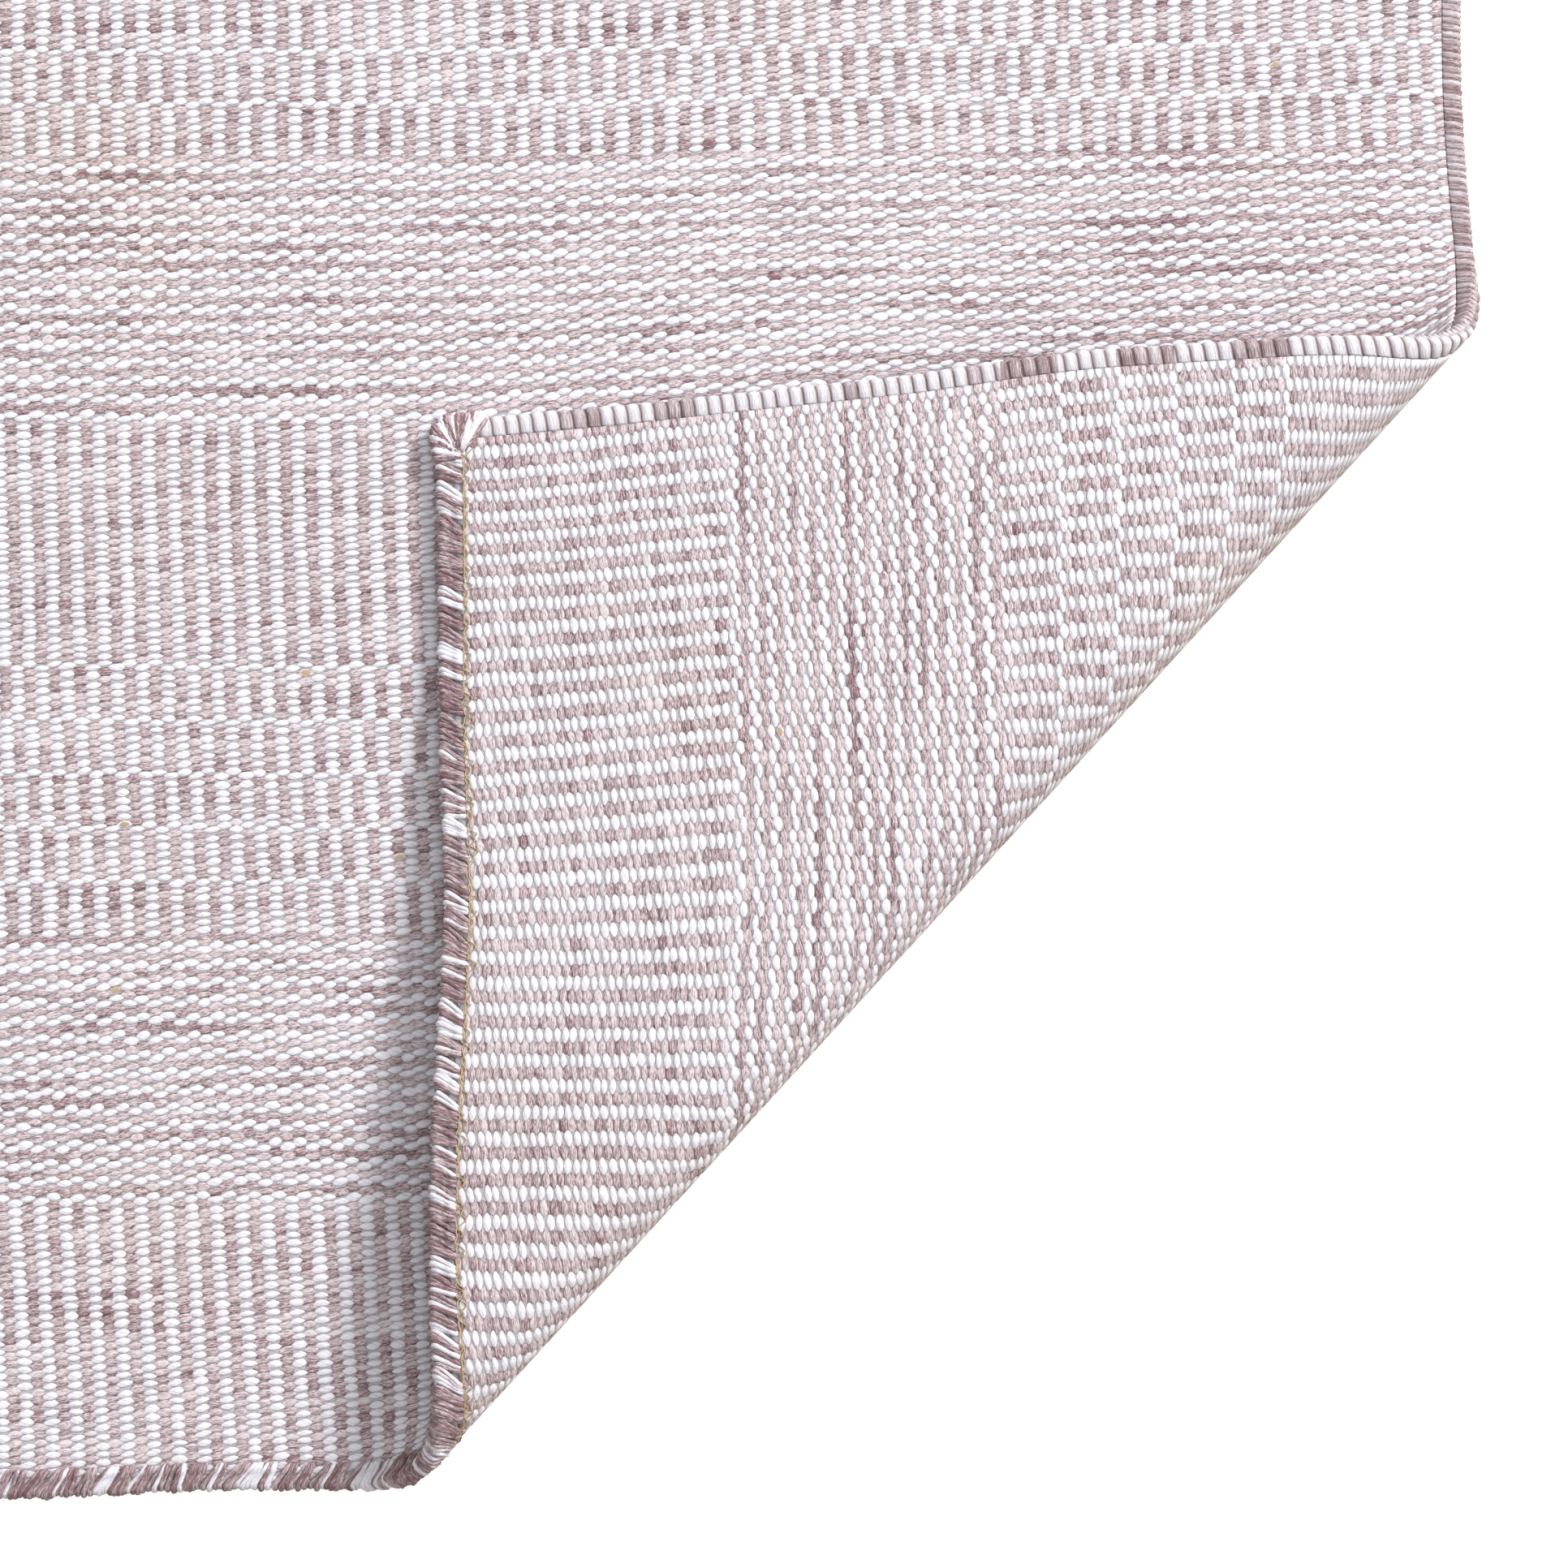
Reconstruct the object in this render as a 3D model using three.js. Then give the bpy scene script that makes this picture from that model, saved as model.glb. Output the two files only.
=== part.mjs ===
// Small handwoven outdoor rug lying on the floor with its near right corner
// turned back over the top. Millimetres, +Z up, the underside rests on z = 0.
import * as THREE from "three";

// Flat size of the whole rug, edges included
const RUG_WIDTH = 610;
const RUG_LENGTH = 915;
const FIELD_THICKNESS = 4.5;

// End overcast: thread wrapped over each short end, on a pressed rim of cloth
const OVERCAST_DEPTH = 8;
const OVERCAST_THICKNESS = 5.5;
const OVERCAST_WALL = 1.1;
const OVERCAST_CORNER = 5;
const RIM_THICKNESS = 2.3;
const RIM_DEPTH = 8.3;
const RIM_SLOPE = 2.4;

// Selvedge: wrapped cord along each long side
const SELVEDGE_WIDTH = 5;
const SELVEDGE_THICKNESS = 4.9;
const PIECE_GAP = 0.36;

// In-plane pull of the cloth towards the turned corner
const PULL_START = -60;
const COLUMN_LEAN = 13;
const SIDE_BULGE = 12;
const SIDE_WAVE = { at: -283, half: 24, out: 1.4 };
const ROW_RISES = [
  { from: -82, over: 70, rise: 2.2, fade: 3 },
  { from: 12, over: 175, rise: 14.4, fade: 1 },
  { from: 188, over: 160, rise: 8, fade: 1 },
  { from: 52, over: 72, rise: -3.4, fade: 6 },
  { from: 130, over: 75, rise: 4.2, fade: 6 },
];

// Fold: a straight line across the near right corner and the roll over it
const FOLD_UPPER = new THREE.Vector2(307.0, -161.9);
const FOLD_LOWER = new THREE.Vector2(46.1, -446.8);
const ROLL_RADIUS = 13.5;
const ROLL_START = 10;
const ROLL_RELEASE = 24;
const FLAP_DESCENT = 95;
const FLAP_LANDING = 30;
const FLAP_RISE = 5.6;
const PROFILE_STEP = 0.25;
const PROFILE_LENGTH = 420;

const HALF_WIDTH = RUG_WIDTH / 2;
const HALF_LENGTH = RUG_LENGTH / 2;
const FOLD_ALONG = FOLD_UPPER.clone().sub(FOLD_LOWER).normalize();
const FOLD_ACROSS = new THREE.Vector2(FOLD_ALONG.y, -FOLD_ALONG.x);

const clamp01 = (t) => Math.min(1, Math.max(0, t));
const ease = (t) => (1 - Math.cos(Math.PI * clamp01(t))) / 2;

// Where a point of the flat rug lies before the corner is turned
function pulled(x, y) {
  const near = clamp01((PULL_START - y) / (HALF_LENGTH + PULL_START));
  const side = ease((x - 100) / (HALF_WIDTH - 100));
  const lean = COLUMN_LEAN * near * near;
  const wave = SIDE_WAVE.out * ease(1 - Math.abs(y - SIDE_WAVE.at) / (2 * SIDE_WAVE.half));
  const bulge = SIDE_BULGE * ease((-88 - y) / 165) + wave;
  const rise = ROW_RISES.reduce(
    (sum, step) => sum + step.rise * near ** step.fade * ease((x - step.from) / step.over),
    0,
  );
  return new THREE.Vector2(x + lean * (1 - side) + bulge * side, y + rise);
}

// Roll profile by arc length: curvature rises, holds, releases; the flap then
// slopes down and lands level on the cloth below it
function rollProfile(dip) {
  const turn = Math.PI + dip;
  const held = turn * ROLL_RADIUS - (ROLL_START + ROLL_RELEASE) / 2;
  const release = ROLL_START + held;
  const landing = release + ROLL_RELEASE + FLAP_DESCENT;
  const profile = [{ across: 0, height: 0, angle: 0 }];
  for (let s = PROFILE_STEP / 2; s < PROFILE_LENGTH; s += PROFILE_STEP) {
    let bend = 1 / ROLL_RADIUS;
    if (s < ROLL_START) {
      bend *= ease(s / ROLL_START);
    } else if (s > release) {
      bend *= 1 - ease((s - release) / ROLL_RELEASE);
    }
    if (s > landing && s < landing + FLAP_LANDING) {
      bend -= (dip / FLAP_LANDING) * (1 - Math.cos((2 * Math.PI * (s - landing)) / FLAP_LANDING));
    }
    const last = profile[profile.length - 1];
    const angle = last.angle + bend * PROFILE_STEP;
    const middle = (angle + last.angle) / 2;
    profile.push({
      across: last.across + Math.cos(middle) * PROFILE_STEP,
      height: last.height + Math.sin(middle) * PROFILE_STEP,
      angle,
    });
  }
  return profile;
}

// The dip of the sloping flap that brings its outer part to the landing height
function settledProfile() {
  let low = 0.02;
  let high = 0.6;
  for (let i = 0; i < 40; i += 1) {
    const dip = (low + high) / 2;
    const profile = rollProfile(dip);
    if (profile[profile.length - 1].height > FLAP_RISE) {
      low = dip;
    } else {
      high = dip;
    }
  }
  return rollProfile((low + high) / 2);
}

const PROFILE = settledProfile();
const ROLL_REACH = Math.max(...PROFILE.map((p) => p.across)) + FIELD_THICKNESS / 2;
const FOLD_ORIGIN = FOLD_LOWER.clone().addScaledVector(FOLD_ACROSS, -ROLL_REACH);

function profileAt(s) {
  if (s <= 0) {
    return { across: s, height: 0, angle: 0 };
  }
  const index = Math.min(s / PROFILE_STEP, PROFILE.length - 1.001);
  const i = Math.floor(index);
  const t = index - i;
  const a = PROFILE[i];
  const b = PROFILE[i + 1];
  return {
    across: THREE.MathUtils.lerp(a.across, b.across, t),
    height: THREE.MathUtils.lerp(a.height, b.height, t),
    angle: THREE.MathUtils.lerp(a.angle, b.angle, t),
  };
}

const distancePast = (point) => point.clone().sub(FOLD_ORIGIN).dot(FOLD_ACROSS);

// Pulled point and offset from the middle of the cloth, put through the fold
function folded(point, offset) {
  const local = point.clone().sub(FOLD_ORIGIN);
  const { across, height, angle } = profileAt(local.dot(FOLD_ACROSS));
  const plan = FOLD_ORIGIN.clone()
    .addScaledVector(FOLD_ALONG, local.dot(FOLD_ALONG))
    .addScaledVector(FOLD_ACROSS, across - offset * Math.sin(angle));
  return new THREE.Vector3(
    plan.x,
    plan.y,
    FIELD_THICKNESS / 2 + height + offset * Math.cos(angle),
  );
}

// The thicker edges rest on the floor too, so their middle is lifted there
function floorLift(thickness, point) {
  return ((thickness - FIELD_THICKNESS) / 2) * (1 - ease(distancePast(point) / 30));
}

function geometryFrom(positions, triangles) {
  const coordinates = positions.flatMap((p) => p.toArray());
  const geometry = new THREE.BufferGeometry();
  geometry.setAttribute("position", new THREE.Float32BufferAttribute(coordinates, 3));
  geometry.setIndex(triangles.flat());
  geometry.computeVertexNormals();
  return geometry;
}

// Evenly spaced values from start to end, no further apart than step
function spread(start, end, step) {
  const count = Math.max(1, Math.ceil(Math.abs(end - start) / step));
  return Array.from({ length: count + 1 }, (_, i) => start + ((end - start) * i) / count);
}

// Lines parallel to the fold that cut the field, close together over the roll
function foldLines() {
  const lines = [
    ...spread(-960, -40, 24),
    ...spread(-40, 0, 10),
    ...spread(0, 70, 1.4),
    ...spread(70, 170, 10),
    ...spread(170, 220, 3),
    ...spread(220, 330, 11),
  ];
  return [...new Set(lines)];
}

// One cross band of the flat field, as an outline of pulled points
function bandOutline(near, far) {
  const side = HALF_WIDTH - SELVEDGE_WIDTH;
  const corner = (x, row) => ({ point: pulled(x, row.y), thickness: row.thickness });
  const across = spread(-side, side, 10).map((x) => corner(x, near));
  const back = spread(side, -side, 10).map((x) => corner(x, far));
  const up = spread(near.y, far.y, 15).slice(1, -1);
  const row = (y) => ({ y, thickness: near.thickness });
  const right = up.map((y) => corner(side, row(y)));
  const left = up.reverse().map((y) => corner(-side, row(y)));
  return [...across, ...right, ...back, ...left];
}

// Part of an outline on one side of a line parallel to the fold
function clipped(outline, line, sign) {
  const kept = [];
  outline.forEach((current, i) => {
    const next = outline[(i + 1) % outline.length];
    const here = sign * (distancePast(current.point) - line);
    const there = sign * (distancePast(next.point) - line);
    if (here >= 0) {
      kept.push(current);
    }
    if (here * there < 0) {
      const t = here / (here - there);
      kept.push({
        point: current.point.clone().lerp(next.point, t),
        thickness: THREE.MathUtils.lerp(current.thickness, next.thickness, t),
      });
    }
  });
  return kept;
}

// The field: cross bands cut into strips along the fold, two faces and a rim
function fieldGeometry() {
  const end = HALF_LENGTH - OVERCAST_WALL - PIECE_GAP;
  const rim = HALF_LENGTH - RIM_DEPTH;
  const full = rim - RIM_SLOPE;
  const rows = [
    { y: -end, thickness: RIM_THICKNESS },
    { y: -rim, thickness: RIM_THICKNESS },
    { y: -full, thickness: FIELD_THICKNESS },
    { y: full, thickness: FIELD_THICKNESS },
    { y: rim, thickness: RIM_THICKNESS },
    { y: end, thickness: RIM_THICKNESS },
  ];
  const lines = foldLines();
  const nodes = [];
  const known = new Map();
  const faces = [];
  const nodeOf = (node) => {
    const key = `${node.point.x.toFixed(3)},${node.point.y.toFixed(3)}`;
    if (!known.has(key)) {
      known.set(key, nodes.length);
      nodes.push(node);
    }
    return known.get(key);
  };
  for (let band = 0; band + 1 < rows.length; band += 1) {
    const outline = bandOutline(rows[band], rows[band + 1]);
    for (let i = 0; i + 1 < lines.length; i += 1) {
      const strip = clipped(clipped(outline, lines[i], 1), lines[i + 1], -1);
      const ring = strip.map(nodeOf).filter((id, k, all) => id !== all[(k + 1) % all.length]);
      if (ring.length > 2) {
        const contour = ring.map((id) => nodes[id].point);
        for (const [a, b, c] of THREE.ShapeUtils.triangulateShape(contour, [])) {
          faces.push([ring[a], ring[b], ring[c]]);
        }
      }
    }
  }
  const offsetOf = ({ point, thickness }) => {
    const pressed = clamp01((FIELD_THICKNESS - thickness) / (FIELD_THICKNESS - RIM_THICKNESS));
    return floorLift(OVERCAST_THICKNESS, point) * pressed;
  };
  const top = nodes.map((node) => folded(node.point, offsetOf(node) + node.thickness / 2));
  const bottom = nodes.map((node) => folded(node.point, offsetOf(node) - node.thickness / 2));
  const count = nodes.length;
  const triangles = [];
  const open = new Map();
  for (const [a, b, c] of faces) {
    triangles.push([a, b, c], [a + count, c + count, b + count]);
    for (const [from, to] of [[a, b], [b, c], [c, a]]) {
      if (!open.delete(`${to},${from}`)) {
        open.set(`${from},${to}`, [from, to]);
      }
    }
  }
  for (const [from, to] of open.values()) {
    triangles.push([from, from + count, to + count], [from, to + count, to]);
  }
  return geometryFrom([...top, ...bottom], triangles);
}

// Closed skin over a row of rings with equal numbers of points
function skinGeometry(rings) {
  const size = rings[0].length;
  const triangles = [];
  for (let i = 0; i + 1 < rings.length; i += 1) {
    for (let k = 0; k < size; k += 1) {
      const a = i * size + k;
      const b = i * size + ((k + 1) % size);
      triangles.push([a, b, b + size], [a, b + size, a + size]);
    }
  }
  return { positions: rings.flat(), triangles };
}

// Places along an edge, close together where it goes over the roll
function edgePlaces(start, end, coarse, pointAt) {
  const places = [start];
  while (places[places.length - 1] < end - 1e-6) {
    const here = places[places.length - 1];
    const past = distancePast(pointAt(here));
    const step = past > -6 && past < 74 ? 2 : coarse;
    places.push(Math.min(end, here + step));
  }
  return places;
}

// Half cross-section of an overcast wall from its open edge to the nose:
// depth from the rug's end and offset from the middle of the cloth
function overcastSection(side, nose) {
  const half = OVERCAST_THICKNESS / 2;
  const inner = half - OVERCAST_WALL;
  const depths = [OVERCAST_DEPTH, 6.2, 4.2, 2.2];
  const outer = [...depths.map((d) => [d, half]), [0.8, half * 0.8], [0, half * 0.35]];
  const cavity = [...depths.map((d) => [d, inner]), [OVERCAST_WALL, inner]];
  const ring = [
    ...outer,
    ...outer.map(([d, w]) => [d, -w]).reverse(),
    ...cavity.map(([d, w]) => [d, -w]),
    ...cavity.reverse(),
  ];
  return ring.map(([depth, offset], i) => {
    const inside = i >= 2 * outer.length;
    const solid = side && inside;
    const reached = solid ? OVERCAST_DEPTH - (OVERCAST_DEPTH - depth) * 0.02 : depth;
    return [Math.max(reached, Math.min(OVERCAST_DEPTH - 0.2, depth + nose)), offset];
  });
}

// Overcast over one short end; end is -1 for the near end and 1 for the far one
function overcastGeometry(end) {
  const inner = HALF_WIDTH - SELVEDGE_WIDTH + PIECE_GAP;
  const corner = [0.3, 1.6, 3, 4, 4.7].map((d) => inner + d * ((HALF_WIDTH - inner) / 4.7));
  const edge = (x) => pulled(x, end * HALF_LENGTH);
  const middle = edgePlaces(-inner, inner, end < 0 ? 8 : 60, edge);
  const places = [...corner.map((x) => -x).reverse(), ...middle, ...corner];
  const rings = places.map((x) => {
    const past = Math.max(0, Math.abs(x) - (HALF_WIDTH - OVERCAST_CORNER));
    const nose = OVERCAST_CORNER - Math.sqrt(OVERCAST_CORNER ** 2 - past ** 2);
    const side = Math.abs(x) > inner + 1e-6;
    const thin = Math.abs(x) > HALF_WIDTH - 0.9 ? 0.7 : 1;
    return overcastSection(side, nose).map(([depth, offset]) => {
      const point = pulled(x, end * (HALF_LENGTH - depth));
      return folded(point, offset * thin + floorLift(OVERCAST_THICKNESS * thin, point));
    });
  });
  if (end > 0) {
    rings.reverse();
  }
  return closedSkin(rings);
}

// Skin with both ends closed by a fan round the middle of the last ring
function closedSkin(rings) {
  const { positions, triangles } = skinGeometry(rings);
  const size = rings[0].length;
  const middleOf = (ring) => ring
    .reduce((sum, p) => sum.add(p), new THREE.Vector3())
    .divideScalar(size);
  const first = positions.push(middleOf(rings[0])) - 1;
  const last = positions.push(middleOf(rings[rings.length - 1])) - 1;
  const offset = (rings.length - 1) * size;
  for (let k = 0; k < size; k += 1) {
    const next = (k + 1) % size;
    triangles.push([first, next, k], [last, offset + k, offset + next]);
  }
  return geometryFrom(positions, triangles);
}

// Selvedge cord along one long side; side is -1 for the left and 1 for the right
function selvedgeGeometry(side) {
  const reach = HALF_LENGTH - OVERCAST_DEPTH - PIECE_GAP;
  const width = SELVEDGE_WIDTH - PIECE_GAP;
  const centre = HALF_WIDTH - width / 2;
  const edge = (y) => pulled(side * HALF_WIDTH, y);
  const rings = edgePlaces(-reach, reach, side > 0 ? 12 : 30, edge).map((y) =>
    Array.from({ length: 12 }, (_, k) => {
      const turn = (2 * Math.PI * (k + 0.5)) / 12;
      const round = (value) => Math.sign(value) * Math.abs(value) ** 0.7;
      const x = side * (centre + (width / 2) * round(Math.cos(turn)));
      const point = pulled(x, y);
      const offset = (SELVEDGE_THICKNESS / 2) * round(Math.sin(turn));
      return folded(point, offset + floorLift(SELVEDGE_THICKNESS, point));
    }));
  if (side > 0) {
    rings.reverse();
  }
  return closedSkin(rings);
}

function part(name, geometry, color, roughness) {
  const material = new THREE.MeshStandardMaterial({ color, roughness, metalness: 0 });
  material.name = `${name}_cloth`;
  const mesh = new THREE.Mesh(geometry, material);
  mesh.name = name;
  return mesh;
}

const rug = new THREE.Group();
rug.name = "outdoor_rug";
rug.add(
  part("rug_field", fieldGeometry(), "#d9cdd1", 0.9),
  part("end_overcast_near", overcastGeometry(-1), "#cfbfc2", 0.85),
  part("end_overcast_far", overcastGeometry(1), "#cfbfc2", 0.85),
  part("selvedge_left", selvedgeGeometry(-1), "#d3c6ca", 0.85),
  part("selvedge_right", selvedgeGeometry(1), "#d3c6ca", 0.85),
);

// The middle of the rug's extent sits over the origin, its underside on z = 0
rug.updateMatrixWorld(true);
const extent = new THREE.Box3().setFromObject(rug, true);
const shift = extent.getCenter(new THREE.Vector3()).negate().setZ(-extent.min.z);
for (const mesh of rug.children) {
  mesh.geometry.translate(shift.x, shift.y, shift.z);
}

export default rug;
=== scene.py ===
import math

import bpy
import numpy as np
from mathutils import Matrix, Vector


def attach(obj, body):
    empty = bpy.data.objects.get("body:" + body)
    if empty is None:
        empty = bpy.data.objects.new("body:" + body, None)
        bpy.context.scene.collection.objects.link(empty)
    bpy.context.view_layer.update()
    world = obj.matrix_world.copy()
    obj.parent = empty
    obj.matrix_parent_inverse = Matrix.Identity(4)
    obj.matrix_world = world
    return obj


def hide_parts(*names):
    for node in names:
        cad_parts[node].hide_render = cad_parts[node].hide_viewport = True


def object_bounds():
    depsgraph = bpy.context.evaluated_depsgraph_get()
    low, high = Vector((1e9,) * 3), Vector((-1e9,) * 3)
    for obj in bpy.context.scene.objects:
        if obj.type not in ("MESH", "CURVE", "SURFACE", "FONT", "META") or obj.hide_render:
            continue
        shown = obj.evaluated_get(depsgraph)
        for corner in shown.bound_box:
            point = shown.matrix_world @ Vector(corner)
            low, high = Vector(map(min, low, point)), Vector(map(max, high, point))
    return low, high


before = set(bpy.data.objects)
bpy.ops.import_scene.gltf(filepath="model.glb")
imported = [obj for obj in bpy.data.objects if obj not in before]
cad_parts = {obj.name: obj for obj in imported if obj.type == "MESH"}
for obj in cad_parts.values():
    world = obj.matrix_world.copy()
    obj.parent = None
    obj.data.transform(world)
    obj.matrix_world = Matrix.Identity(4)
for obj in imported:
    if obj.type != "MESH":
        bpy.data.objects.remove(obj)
cadLow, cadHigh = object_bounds()
mm = 0.001

# The cloth's flat size and how it is pulled towards the turned corner, in mm
cloth = {
    "halfWidth": 305.0,
    "halfLength": 457.5,
    "thickness": 4.5,
    "pullStart": -60.0,
    "columnLean": 13.0,
    "sideBulge": 12.0,
    "bulgeSide": 100.0,
    "bulgeFrom": -88.0,
    "bulgeOver": 165.0,
    "sideWave": {"at": -283.0, "half": 24.0, "out": 1.4},
    "rowRises": [
        (-82.0, 70.0, 2.2, 3), (12.0, 175.0, 14.4, 1), (188.0, 160.0, 8.0, 1),
        (52.0, 72.0, -3.4, 6), (130.0, 75.0, 4.2, 6),
    ],
    "edgeThickness": 5.5,
}

# The fold line in plan and the roll over it, in mm
fold = {
    "upper": (307.0, -161.9),
    "lower": (46.1, -446.8),
    "radius": 13.5,
    "start": 10.0,
    "release": 24.0,
    "descent": 95.0,
    "landing": 30.0,
    "rise": 5.6,
    "step": 0.25,
    "length": 420.0,
    "liftOver": 30.0,
    "clearance": 0.03,
    "steep": 0.2,
}


def ease(t):
    return (1 - np.cos(np.pi * np.clip(t, 0, 1))) / 2


# Roll profile by arc length: the curvature rises over the start, holds at one over
# the radius, releases, and turns back over the landing so that the flap lies level
def rollProfile(dip):
    held = (math.pi + dip) * fold["radius"] - (fold["start"] + fold["release"]) / 2
    release = fold["start"] + held
    landing = release + fold["release"] + fold["descent"]
    s = np.arange(fold["step"] / 2, fold["length"], fold["step"])
    bend = ease(s / fold["start"]) * (1 - ease((s - release) / fold["release"])) / fold["radius"]
    level = (s > landing) & (s < landing + fold["landing"])
    swing = 1 - np.cos(2 * np.pi * (s - landing) / fold["landing"])
    bend = bend - level * swing * dip / fold["landing"]
    angle = np.concatenate([[0], np.cumsum(bend) * fold["step"]])
    middle = (angle[1:] + angle[:-1]) / 2
    across = np.concatenate([[0], np.cumsum(np.cos(middle)) * fold["step"]])
    height = np.concatenate([[0], np.cumsum(np.sin(middle)) * fold["step"]])
    return across, height, angle


# The dip for which the flap ends at its landing height, found by halving
def settledProfile():
    low, high = 0.02, 0.6
    for _ in range(40):
        dip = (low + high) / 2
        if rollProfile(dip)[1][-1] > fold["rise"]:
            low = dip
        else:
            high = dip
    return rollProfile((low + high) / 2)


profileAcross, profileHeight, profileAngle = settledProfile()
profileReach = np.arange(len(profileAcross)) * fold["step"]
foldAlong = np.subtract(fold["upper"], fold["lower"])
foldAlong = foldAlong / np.linalg.norm(foldAlong)
foldAcross = np.array([foldAlong[1], -foldAlong[0]])
foldOrigin = np.array(fold["lower"]) - foldAcross * (profileAcross.max() + cloth["thickness"] / 2)
frameShift = (cadLow.x / mm + cloth["halfWidth"], cadHigh.y / mm - cloth["halfLength"])


# How near a row lies to the near end: 0 where the pull starts, 1 at the end
def nearness(y):
    return np.clip((cloth["pullStart"] - y) / (cloth["halfLength"] + cloth["pullStart"]), 0, 1)


# Where a point of the flat cloth lies before the corner is turned: columns lean by
# the square of the distance to the near end, the side bulges, the rows rise and dip in steps
def pullCloth(x, y):
    near = nearness(y)
    side = ease((x - cloth["bulgeSide"]) / (cloth["halfWidth"] - cloth["bulgeSide"]))
    sideWave = cloth["sideWave"]
    wave = sideWave["out"] * ease(1 - np.abs(y - sideWave["at"]) / (2 * sideWave["half"]))
    bulge = cloth["sideBulge"] * ease((cloth["bulgeFrom"] - y) / cloth["bulgeOver"]) + wave
    rise = sum(r * near**fade * ease((x - start) / over) for start, over, r, fade in cloth["rowRises"])
    return x + cloth["columnLean"] * near**2 * (1 - side) + bulge * side, y + rise


# Distances past the fold line and along it
def foldPlace(x, y):
    px, py = pullCloth(x, y)
    dx, dy = px - foldOrigin[0], py - foldOrigin[1]
    return dx * foldAcross[0] + dy * foldAcross[1], dx * foldAlong[0] + dy * foldAlong[1]


def pastFold(x, y):
    return foldPlace(x, y)[0]


# The thicker edges rest on the floor, so their middle is lifted wherever they lie on it
def floorLift(thickness, x, y):
    return (thickness - cloth["thickness"]) / 2 * (1 - ease(pastFold(x, y) / fold["liftOver"]))


# Lowest offset from the cloth's middle that stays above the floor, with no limit where
# the cloth is steep
def floorOffset(x, y):
    s = pastFold(x, y)
    height = np.interp(s, profileReach, profileHeight)
    upright = np.cos(np.interp(s, profileReach, profileAngle))
    room = cloth["thickness"] / 2 - fold["clearance"] + height
    return np.where(upright > fold["steep"], -room / np.maximum(upright, fold["steep"]), -1000)


# Cloth coordinates x, y and the offset w from the cloth's middle, in mm, to the place
# in the frame, in metres: pulled, then carried round the roll along its profile
def layCloth(x, y, w):
    s, a = foldPlace(x, y)
    angle = np.interp(s, profileReach, profileAngle)
    across = np.where(s < 0, s, np.interp(s, profileReach, profileAcross)) - w * np.sin(angle)
    height = np.interp(s, profileReach, profileHeight) + w * np.cos(angle)
    return np.stack([
        foldOrigin[0] + foldAlong[0] * a + foldAcross[0] * across + frameShift[0],
        foldOrigin[1] + foldAlong[1] * a + foldAcross[1] * across + frameShift[1],
        height + cloth["thickness"] / 2,
    ], axis=-1) * mm


# One mesh object from whole arrays: points (n, 3), faces (m, 3 or 4), a UV pair for
# each vertex in each named map, the material number of each face and which are flat
def makePiece(name, points, faces, uvMaps, materials, faceMaterial=None, flat=None):
    mesh = bpy.data.meshes.new(name)
    points = points.reshape(-1, 3)
    mesh.vertices.add(len(points))
    mesh.vertices.foreach_set("co", points.astype(np.float32).ravel())
    sides = faces.shape[1]
    mesh.loops.add(faces.size)
    mesh.loops.foreach_set("vertex_index", faces.astype(np.int32).ravel())
    mesh.polygons.add(len(faces))
    mesh.polygons.foreach_set("loop_start", np.arange(0, faces.size, sides, dtype=np.int32))
    mesh.polygons.foreach_set("loop_total", np.full(len(faces), sides, np.int32))
    mesh.polygons.foreach_set("use_smooth", np.ones(len(faces), bool) if flat is None else ~flat)
    if faceMaterial is not None:
        mesh.polygons.foreach_set("material_index", faceMaterial.astype(np.int32))
    for mapName, uv in uvMaps.items():
        layer = mesh.uv_layers.new(name=mapName)
        layer.data.foreach_set("uv", uv.reshape(-1, 2)[faces.ravel()].astype(np.float32).ravel())
    for material in materials:
        mesh.materials.append(material)
    mesh.update(calc_edges=True)
    piece = bpy.data.objects.new(name, mesh)
    bpy.context.scene.collection.objects.link(piece)
    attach(piece, "root")
    return piece


# Quads of a grid of rows by columns, with the columns joined round where closed
def gridQuads(rows, columns, closed=False):
    r, c = np.mgrid[0:rows - 1, 0:columns if closed else columns - 1]
    right = (c + 1) % columns
    quads = [r * columns + c, r * columns + right, (r + 1) * columns + right, (r + 1) * columns + c]
    return np.stack([q.ravel() for q in quads], axis=1)


def linear(hexColour):
    value = np.array([int(hexColour[k:k + 2], 16) / 255 for k in (1, 3, 5)])
    value = np.where(value <= 0.04045, value / 12.92, ((value + 0.055) / 1.055) ** 2.4)
    return (*value, 1.0)


white = (1.0, 1.0, 1.0, 1.0)


# Adds one node, sets its settings, and gives each input a value or a link
def addNode(tree, kind, inputs=(), **settings):
    made = tree.nodes.new(kind)
    for key, value in settings.items():
        setattr(made, key, value)
    for key, value in dict(inputs).items():
        if isinstance(value, bpy.types.NodeSocket):
            tree.links.new(value, made.inputs[key])
        else:
            made.inputs[key].default_value = value
    return made


# Runs lines of the form name, operation, inputs as math nodes; an input is a number
# or the name of an earlier value
def runSteps(tree, values, steps):
    for name, operation, *inputs in steps:
        sockets = {k: values.get(v, v) if isinstance(v, str) else v for k, v in enumerate(inputs)}
        values[name] = addNode(tree, "ShaderNodeMath", sockets, operation=operation).outputs[0]
    return values


def mixColours(tree, share, first, second, **settings):
    sockets = {0: share, "A": first, "B": second}
    return addNode(tree, "ShaderNodeMix", sockets, data_type="RGBA", **settings).outputs["Result"]


# The two coordinates of a named UV map
def uvParts(tree, name):
    uv = addNode(tree, "ShaderNodeUVMap", uv_map=name)
    return addNode(tree, "ShaderNodeSeparateXYZ", {0: uv.outputs[0]}).outputs[:2]


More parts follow.
